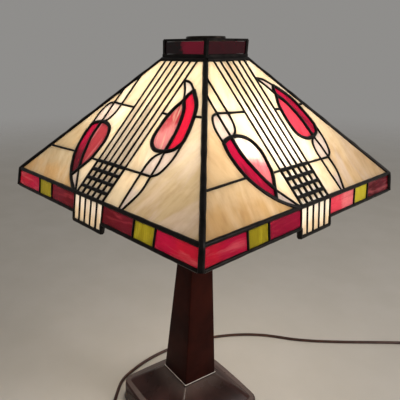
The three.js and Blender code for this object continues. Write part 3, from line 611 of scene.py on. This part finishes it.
def high_leaf():
    """Right of the strips: the high leaf, pointed above and round below."""
    def hip(v):
        return (hip_at(v), v)

    def strip(v):
        return (STRIP_HALF, v)

    bud, point, notch, seat, side = (26, 164), (50, 152), (45, 139), (66.5, 76), (82.6, 91)
    upper = curve([bud, (37, 161.5), point])
    lower = curve([bud, (36, 152.5), notch])
    shoulder = [point, (46.5, 146.5), notch]
    inner = curve([notch, (38.5, 125), (36, 105), (38.5, 85), (50, 76), seat], 42)
    midrib = curve([notch, (55, 126), (63.5, 102), seat], 24)
    heel = curve([seat, (77, 81), side], 12)
    outer = curve([side, (78.5, 109), (68, 133.5), point], 30)
    lens_left = curve([seat, (57, 68), (53.8, 57), (53.8, GRID_TOP)])
    lens_middle = [seat, (69, 62), (70, GRID_TOP)]
    lens_right = curve([side, (83.8, 70), (78, 51), (70, GRID_TOP)])
    foot_left = [(53.8, GRID_TOP), (54.6, 24), (56, 0)]
    foot_right = curve([(70, GRID_TOP), (70.5, 27), (61, 0)])
    spur = outer[nearest(outer, (73.5, 122))]
    hip_joint = inner[nearest(inner, (37.4, 120))]
    panes = {
        "bud": outline(upper, shoulder, lower[::-1]),
        "neck": outline(lower, up_to(inner, hip_joint), [strip(120)]),
        "inside": outline([strip(120)], onward(inner, hip_joint), lens_left, [strip(GRID_TOP)]),
        "leaf_in": outline(inner, midrib[::-1]),
        "leaf_out": outline(shoulder, midrib, heel, outer),
        "lens_a": outline(lens_left, lens_middle[::-1]),
        "lens_b": outline(heel, lens_right, lens_middle[::-1]),
        "top": outline([strip(PANEL_TOP)], upper, onward(outer, spur)[::-1], [hip(122), hip(PANEL_TOP)]),
        "field": outline([hip(122)], up_to(outer, spur)[::-1], lens_right, foot_right, [hip(0)]),
        "foot_a": outline([strip(GRID_TOP)], foot_left, [strip(0)]),
        "foot_b": outline(foot_left, foot_right[::-1]),
    }
    plain = [upper, lower, lens_left, lens_middle, lens_right, foot_left, foot_right, [hip_joint, strip(120)],
             [spur, hip(122)], [strip(GRID_TOP), (53.8, GRID_TOP), (70, GRID_TOP)]]
    return panes, plain, [shoulder, inner, midrib, heel, outer]


def strip_panes():
    """The five long strips and the twenty little squares below them, with their uprights and rungs."""
    width = 2 * STRIP_HALF / 5
    rows = [GRID_TOP * n / 4 for n in range(5)]
    panes, lines = {}, []
    for column in range(6):
        u = -STRIP_HALF + column * width
        lines.append([(u, 0), (u, PANEL_TOP)])
        if column < 5:
            panes[f"strip_{column}"] = rectangle(u, GRID_TOP, u + width, PANEL_TOP)
            for row in range(4):
                panes[f"square_{column}_{row}"] = rectangle(u, rows[row], u + width, rows[row + 1])
    return panes, lines, [[(-STRIP_HALF, v), (STRIP_HALF, v)] for v in rows[1:]]


# ---------- panes ----------
WHITE = linear(242, 234, 222)
CREAM = linear(230, 212, 182)
BEIGE = linear(214, 188, 150)
AMBER = linear(206, 172, 124)
LILAC = linear(214, 200, 194)
CRIMSON = linear(174, 10, 60)
CORAL = linear(196, 58, 80)
RED = linear(190, 22, 54)
PINK = linear(214, 112, 124)
MAROON = linear(96, 14, 32)
LEMON = linear(184, 176, 46)
OLIVE = linear(138, 128, 22)
WINE = linear(84, 4, 18)
RUBY = linear(122, 2, 42)
DUSTY = linear(190, 116, 122)
ROSE = linear(160, 54, 66)
SILVER = linear(190, 178, 162)
SAND = linear(194, 176, 144)
PALE = linear(214, 200, 174)


class Panes:
    """Collects closed glass panes with the colours of each."""

    MAX_TURN = 0.5
    MAX_LIFT = 0.12

    def __init__(self, seed):
        self.random = random.Random(seed)
        self.verts = []
        self.faces = []
        self.slots = []
        self.marks = {"tone_low": [], "tone_high": [], "tone_wisp": [], "sheet": [], "along": []}

    def add(self, points, low, high, wisp, direction=(0, 1), turn=None):
        """A pane going from low to high along direction. turn is its streaks' angle, drawn if not given."""
        spread = [p[0] * direction[0] + p[1] * direction[1] for p in points]
        span = max(spread) - min(spread) or 1
        angle = self.random.uniform(-self.MAX_TURN, self.MAX_TURN) if turn is None else turn
        shift = Vector([self.random.uniform(-1, 1) for _ in range(3)])
        lift = self.random.uniform(-self.MAX_LIFT, self.MAX_LIFT)
        first = len(self.verts)
        n = len(points)
        for z in (lift, lift - GLASS):
            for p, s in zip(points, spread):
                self.verts.append((p[0], p[1], z))
                here = Vector((p[0], p[1], z)) * MM
                here.rotate(Matrix.Rotation(angle, 3, "Z"))
                self.marks["sheet"].append(here + shift)
                self.marks["along"].append((s - min(spread)) / span)
                for key, tone in (("tone_low", low), ("tone_high", high), ("tone_wisp", wisp)):
                    self.marks[key].append(tone)
        self.faces.append(tuple(first + i for i in range(n)))
        self.slots.append(0)
        self.faces.append(tuple(first + n + i for i in reversed(range(n))))
        self.slots.append(1)
        for i in range(n):
            j = (i + 1) % n
            self.faces.append((first + i, first + n + i, first + n + j, first + j))
            self.slots.append(1)

    def build(self, name, materials, matrix, slot, replaces=()):
        """One piece of all the panes, with their tones and places stored on its points."""
        mesh = piece(name, self.verts, self.faces, materials, "shade", matrix, replaces).data
        for polygon, index in zip(mesh.polygons, self.slots):
            polygon.material_index = index
        for key, values in self.marks.items():
            kind = "FLOAT" if key == "along" else "FLOAT_VECTOR"
            store = mesh.attributes.new(key, kind, "POINT")
            if kind == "FLOAT":
                store.data.foreach_set("value", values)
            else:
                store.data.foreach_set("vector", [c for v in values for c in v])


def face_matrix(side, run, rise):
    """Takes (u, v, out) on a face that starts at the arris to the row frame."""
    up = Vector((run, 0, rise)).normalized()
    right = Vector((0, 1, 0))
    out = right.cross(up)
    local = Matrix((right, up, out)).transposed().to_4x4()
    local.translation = Vector((SHADE_HALF, 0, ARRIS_Z)) * MM
    return Matrix.Rotation(math.radians(SHADE_TURN + 90 * SIDES.index(side)), 4, "Z") @ local


def panel_tones(side):
    """Colours of the panes that differ from the plain cream of their neighbours. The front and back panels,
    with no bulb behind them, get darker and greyer copies: painted shade.
    """
    painted_shade_side = side in ("front", "back")
    return {
        "low.leaf_out": (CRIMSON, CRIMSON, MAROON) if not painted_shade_side else (MAROON, CRIMSON, MAROON),
        "low.leaf_in": (PINK, WHITE, RED) if not painted_shade_side else (ROSE, ROSE, DUSTY),
        "high.leaf_in": (CORAL, CORAL, RED) if not painted_shade_side else (DUSTY, ROSE, SILVER),
        "high.leaf_out": (CRIMSON, CRIMSON, MAROON) if not painted_shade_side else (RED, RED, CRIMSON),
        "low.stalk_a": (LILAC, LILAC, WHITE),
        "low.stalk_b": (LILAC, LILAC, WHITE),
        "low.tail": (LILAC, LILAC, WHITE),
        "high.bud": (LILAC, LILAC, WHITE),
        "high.lens_a": (LILAC, LILAC, WHITE),
        "high.lens_b": (LILAC, LILAC, WHITE),
        "high.foot_b": (LILAC, CREAM, WHITE),
        "low.corner": (AMBER, BEIGE, CREAM) if not painted_shade_side else (AMBER, SAND, PALE),
        "low.field": (BEIGE, CREAM, AMBER) if not painted_shade_side else (SAND, PALE, AMBER),
        "high.field": (BEIGE, CREAM, LILAC) if not painted_shade_side else (SAND, PALE, LILAC),
    }


def clip_panel(points):
    points = cut(points, lambda p: p[1] - ARRIS_GAP)
    points = cut(points, lambda p: PANEL_TOP - TOP_GAP - p[1])
    points = cut(points, lambda p: hip_at(p[1]) - HIP_GAP - p[0])
    return cut(points, lambda p: hip_at(p[1]) - HIP_GAP + p[0])


def build_panel(side, looks, parts):
    k = SIDES.index(side)
    matrix = face_matrix(side, COLLAR_HALF - SHADE_HALF, PYRAMID_RISE)
    (low, low_plain, low_bold), (high, high_plain, high_bold), (strips, uprights, rungs) = parts
    tones = panel_tones(side)
    # Painted light and shade: the right and left panels, with a bulb behind them, get paler plain and strip
    # colours than the front and back.
    bright = side in ("right", "left")
    plain = (CREAM, CREAM, WHITE) if bright else (PALE, CREAM, WHITE)
    strip_tones = (WHITE, CREAM, WHITE) if bright else (SILVER, CREAM, WHITE)
    groups = {
        "leaves": lambda key: ".leaf" in key,
        "strips": lambda key: "strip_" in key or "square_" in key,
        "fields": lambda key: True,
    }
    left = {f"low.{n}": p for n, p in low.items()} | {f"high.{n}": p for n, p in high.items()}
    left |= {f"mid.{n}": p for n, p in strips.items()}
    for index, (group, wanted) in enumerate(groups.items()):
        made = Panes(100 * k + index)
        for key in [n for n in left if wanted(n)]:
            points = clip_panel(left.pop(key))
            if group == "strips":
                made.add(points, *strip_tones, turn=0.0)
            else:
                made.add(points, *tones.get(key, plain))
        stands = (f"panel_glass_{side}",) if group == "fields" else ()
        made.build(f"{group}_{side}", [looks[group], looks["back"]], matrix, "opal_glass", stands)
    sweep = Sweep()
    for line in low_plain + high_plain:
        sweep.flat(line, *PLAIN, k + 0.1)
    for line in uprights:
        sweep.flat(line, *UPRIGHT, k + 0.4)
    for line in rungs:
        sweep.flat(line, *RUNG, k + 0.6)
    for column in range(6):
        u = (column * 2 / 5 - 1) * STRIP_HALF
        sweep.flat([(u, 1), (u, GRID_TOP)], *GRID_UPRIGHT, k + 0.7)
    for line in low_bold + high_bold:
        sweep.flat(line, *BOLD, k + 0.8)
    sweep.flat([(-COLLAR_HALF - 1, PANEL_TOP), (COLLAR_HALF + 1, PANEL_TOP)], *COLLAR_LINE, k)
    piece(f"lines_{side}", sweep.verts, sweep.faces, [looks["solder"]], "shade", matrix,
          (f"panel_lead_{side}",), flat_over=60)


# ---------- the apron ----------
def apron_panes():
    def end(v):
        return SHADE_HALF - v * APRON_FLARE / APRON_DROP - END_GAP

    panes = {}
    for side, sign in (("l", -1), ("r", 1)):
        near, far = sign * APRON_NEAR, sign * APRON_FAR
        panes[f"{side}_near"] = outline(rectangle(sign * TAB_HALF, -APRON_DROP, near, 0))
        panes[f"{side}_mid"] = outline(rectangle(near, -APRON_DROP, far, 0))
        panes[f"{side}_far"] = outline([(far, 0), (far, -APRON_DROP),
                                        (sign * end(-APRON_DROP), -APRON_DROP), (sign * end(0), 0)])
    width = 2 * TAB_HALF / 5
    for column in range(5):
        u = -TAB_HALF + column * width
        panes[f"tab_{column}"] = rectangle(u, -TAB_DROP, u + width, 0)
    return panes


def clip_apron(key, points):
    foot = (TAB_DROP if "tab" in key else APRON_DROP) - FOOT_GAP
    return cut(cut(points, lambda p: p[1] + foot), lambda p: -HEAD_GAP - p[1])


APRON_TONES = {
    "front": {"l_far": (RED, CRIMSON), "l_mid": (OLIVE, OLIVE), "l_near": (MAROON, WINE),
              "r_near": (WINE, MAROON), "r_mid": (OLIVE, OLIVE), "r_far": (CRIMSON, RED)},
    "right": {"l_far": (RED, CRIMSON), "l_mid": (OLIVE, OLIVE), "l_near": (RUBY, RUBY),
              "r_near": (CORAL, PINK), "r_mid": (LEMON, LEMON), "r_far": (WINE, MAROON)},
}


def build_apron(side, looks):
    k = SIDES.index(side)
    matrix = face_matrix(side, -APRON_FLARE, APRON_DROP)
    tones = APRON_TONES["front" if side in ("front", "back") else "right"]
    colours, tab = Panes(500 + k), Panes(600 + k)
    for key, points in apron_panes().items():
        if "tab" in key:
            tab.add(clip_apron(key, points), CREAM, WHITE, LILAC, turn=0.0)
        else:
            low, high = tones[key]
            along = 0.0 if "mid" in key else math.pi / 2
            wisp = LEMON if "mid" in key else PINK if "far" in key else ROSE
            colours.add(clip_apron(key, points), low, high, wisp, (1, 0), along)
    colours.build(f"apron_panes_{side}", [looks["apron"], looks["back"]], matrix, "red_glass",
                  (f"apron_glass_{side}",))
    tab.build(f"tab_strips_{side}", [looks["strips"], looks["back"]], matrix, "opal_glass")
    sweep = Sweep()
    for sign in (-1, 1):
        for u in (APRON_NEAR, APRON_FAR):
            sweep.flat([(sign * u, -APRON_DROP), (sign * u, LINE_HEAD)], *APRON_SPLIT, k + 0.2)
    for column in range(6):
        u = (column * 2 / 5 - 1) * TAB_HALF
        sweep.flat([(u, -TAB_DROP), (u, LINE_HEAD)], *PLAIN, k + 0.3)
    end = SHADE_HALF + APRON_FLARE - END_GAP
    foot = [(-end, -APRON_DROP), (-TAB_HALF, -APRON_DROP), (-TAB_HALF, -TAB_DROP), (TAB_HALF, -TAB_DROP),
            (TAB_HALF, -APRON_DROP), (end, -APRON_DROP)]
    for a, b in zip(foot, foot[1:]):
        sweep.flat([a, b], *APRON_FOOT, k + 0.5)
    piece(f"apron_lines_{side}", sweep.verts, sweep.faces, [looks["solder"]], "shade", matrix,
          (f"apron_lead_{side}",), flat_over=60)


def build_edges(looks):
    """Beads down the four hips and along the four arrises."""
    root2 = math.sqrt(2)
    for k, side in enumerate(SIDES):
        turn = Matrix.Rotation(math.radians(SHADE_TURN + 45 + 90 * k), 4, "Z")
        hip = [(COLLAR_HALF * root2 + 0.6, 0, HIP_TOP_Z), (SHADE_HALF * root2 - 0.7, 0, ARRIS_Z - 0.1),
               ((SHADE_HALF + APRON_FLARE) * root2 - 0.5, 0, ARRIS_Z - APRON_DROP)]
        bead = Sweep()
        bead.round(hip, HIP_BEAD, k, 16, 0.16)
        piece(f"hip_solder_{side}", bead.verts, bead.faces, [looks["solder"]], "shade", turn,
              (f"hip_bead_{side}",), flat_over=60)
        turn = Matrix.Rotation(math.radians(SHADE_TURN + 90 * k), 4, "Z")
        out, reach = SHADE_HALF - 0.9, SHADE_HALF - 1.5
        arris = Sweep()
        arris.round([(out, -reach, ARRIS_Z), (out, reach, ARRIS_Z)], ARRIS_BEAD, k + 9, 14, 0.12)
        piece(f"arris_{side}", arris.verts, arris.faces, [looks["solder"]], "shade", turn,
              flat_over=60)


# ---------- CAD nodes that keep their shape ----------
def dress(node, material, bevel=0.0, segments=3, angle=30):
    """Gives a CAD node its material, a bevel in millimetres, and smooth shading up to an angle in degrees."""
    obj = NODES[node]
    obj.data.materials.clear()
    obj.data.materials.append(material)
    weld = obj.modifiers.new("weld", "WELD")
    weld.merge_threshold = 0.00001
    if bevel:
        edge = obj.modifiers.new("edge", "BEVEL")
        edge.width = bevel * MM
        edge.segments = segments
        edge.limit_method = "ANGLE"
        edge.angle_limit = math.radians(angle)
        edge.harden_normals = True
    obj.data.shade_smooth()
    if obj.data.has_custom_normals:
        with bpy.context.temp_override(object=obj, active_object=obj):
            bpy.ops.mesh.customdata_custom_splitnormals_clear()
    obj.data.set_sharp_from_angle(angle=math.radians(angle))
    return obj


def dress_all(looks):
    for node in ("collar_frame", "vent_cap"):
        dress(node, looks["solder"], 0.7, 3, 40)
    for side in SIDES:
        # The front and back collar panes get the painted patch of light at full strength, the others only a
        # trace of it.
        dress(f"collar_pane_{side}", looks["collar_lit" if side in ("front", "back") else "collar"], 0.3)
    dress("disc_finial", looks["disc"], 0.3, 2, 15)
    dress("base_casting", looks["base"], 0.0, 3, 40)
    dress("plinth_plate", looks["plinth"], 0.5, 3, 40)
    dress("column", looks["column"], 0.4, 2, 40)
    dress("column_cap", looks["column"], 0.4, 2, 40)
    dress("felt_pad", looks["felt"])
    for node in ("cluster_hub", "arm_a", "arm_b", "lampholder_a", "lampholder_b", "riser", "riser_seat",
                 "column_nut", "plug_pin_a", "plug_pin_b"):
        dress(node, looks["brass"], 0.25, 2)
    for node in ("bulb_cap_a", "bulb_cap_b", "lower_nut", "lower_washer", "threaded_pipe"):
        dress(node, looks["steel"], 0.2, 2)
    dress("ballast", looks["iron"], 0.6, 2)
    for node in ("switch_knob_a", "switch_knob_b", "strain_relief", "coil_tie", "inner_lead"):
        dress(node, looks["black"], 0.25, 2, 40)
    dress("plug_body", looks["black"], 2.0, 4, 40)
    for node in ("bulb_glass_a", "bulb_glass_b"):
        dress(node, looks["bulb"]).visible_shadow = False


# ---------- stage and light ----------
def build_stage():
    """A round floor, 6 m in radius, and an even pale surround."""
    reach, sides = 6, 96
    mesh = bpy.data.meshes.new("floor")
    angles = [math.pi * n / (sides / 2) for n in range(sides)]
    edge = [(reach * math.cos(a), reach * math.sin(a), 0) for a in angles]
    mesh.from_pydata(edge, [], [tuple(range(sides))])
    mesh.materials.append(floor_finish("floor_paint"))
    floor = bpy.data.objects.new("floor", mesh)
    bpy.context.scene.collection.objects.link(floor)
    world = bpy.data.worlds.new("studio")
    world.use_nodes = True
    back = world.node_tree.nodes["Background"]
    back.inputs["Color"].default_value = (0.86, 0.84, 0.81, 1)
    back.inputs["Strength"].default_value = 0.32
    bpy.context.scene.world = world


def lamp(name, kind, place, watts, colour, size, aim=None):
    data = bpy.data.lights.new(name, kind)
    data.energy = watts
    data.color = colour
    if kind == "AREA":
        data.shape = "DISK"
        data.size = size
    else:
        data.shadow_soft_size = size
    light = bpy.data.objects.new(name, data)
    light.location = place
    if aim is not None:
        light.rotation_euler = (Vector(aim) - Vector(place)).to_track_quat("-Z", "Y").to_euler()
    bpy.context.scene.collection.objects.link(light)


def build_light():
    """A yellow-white point in each bulb, and a softbox above and to the right of the camera."""
    for letter in "ab":
        low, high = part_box(f"bulb_glass_{letter}")
        lamp(f"bulb_light_{letter}", "POINT", (low + high) / 2, 1.5, (1.0, 0.93, 0.83), 0.018)
    lamp("softbox", "AREA", (1.6, 1.1, 1.35), 18, (1, 0.96, 0.93), 1.1, (0, 0, 0.15))


LOOKS = {
    # The last number of each art glass sets how brightly it glows, a painted light.
    "strips": art_glass("strip_glass", (40, 7, 40), 0.5, 0.1),
    "fields": art_glass("opal_glass_sheet", (34, 10, 34), 0.65, 0.1),
    "leaves": art_glass("leaf_glass", (120, 22, 120), 0.65, 0.14),
    "apron": art_glass("apron_glass_sheet", (150, 24, 150), 0.4, 0.08),
    "collar": collar_glass("collar_glass_sheet", 0.12),
    "collar_lit": collar_glass("collar_glass_bright", 1.0),
    "back": glass_back("glass_inner_face"),
    "solder": solder("black_solder"),
    "disc": metal("blackened_brass", (58, 50, 44), (30, 26, 24), 0.35, 0.9),
    # The fourth colour of each bronze is its painted highlight on faces that point up; the plinth's is near
    # white.
    "column": bronze("column_bronze", (32, 10, 8), (56, 21, 15), (0.3, 0.4), (104, 78, 68), 0.1),
    "plinth": bronze("plinth_bronze", (26, 14, 12), (42, 24, 20), (0.26, 0.34), (228, 222, 216), 0.3, 0.9),
    "base": bronze("base_bronze", (38, 23, 20), (68, 44, 41), (0.24, 0.32), (150, 136, 130), 0.45, 0.4),
    "felt": felt("green_felt"),
    "brass": metal("satin_brass", (190, 150, 86), (140, 104, 54), 0.3),
    "steel": metal("zinc_plate", (176, 176, 172), (130, 130, 128), 0.34),
    "iron": metal("cast_iron_skin", (62, 62, 64), (38, 38, 40), 0.7, 0.8),
    "black": plastic("black_moulding", (16, 16, 16), 0.42),
    "bulb": lit_bulb("soft_white_lamp"),
    "cord": plastic("brown_cord", (50, 27, 19), 0.34, 400, (74, 42, 30)),
}

build_camera()
build_cord(LOOKS["cord"])
PARTS = (low_leaf(), high_leaf(), strip_panes())
for SIDE in SIDES:
    build_panel(SIDE, LOOKS, PARTS)
    build_apron(SIDE, LOOKS)
build_edges(LOOKS)
dress_all(LOOKS)
build_stage()
build_light()
bpy.context.scene.view_settings.view_transform = "Standard"
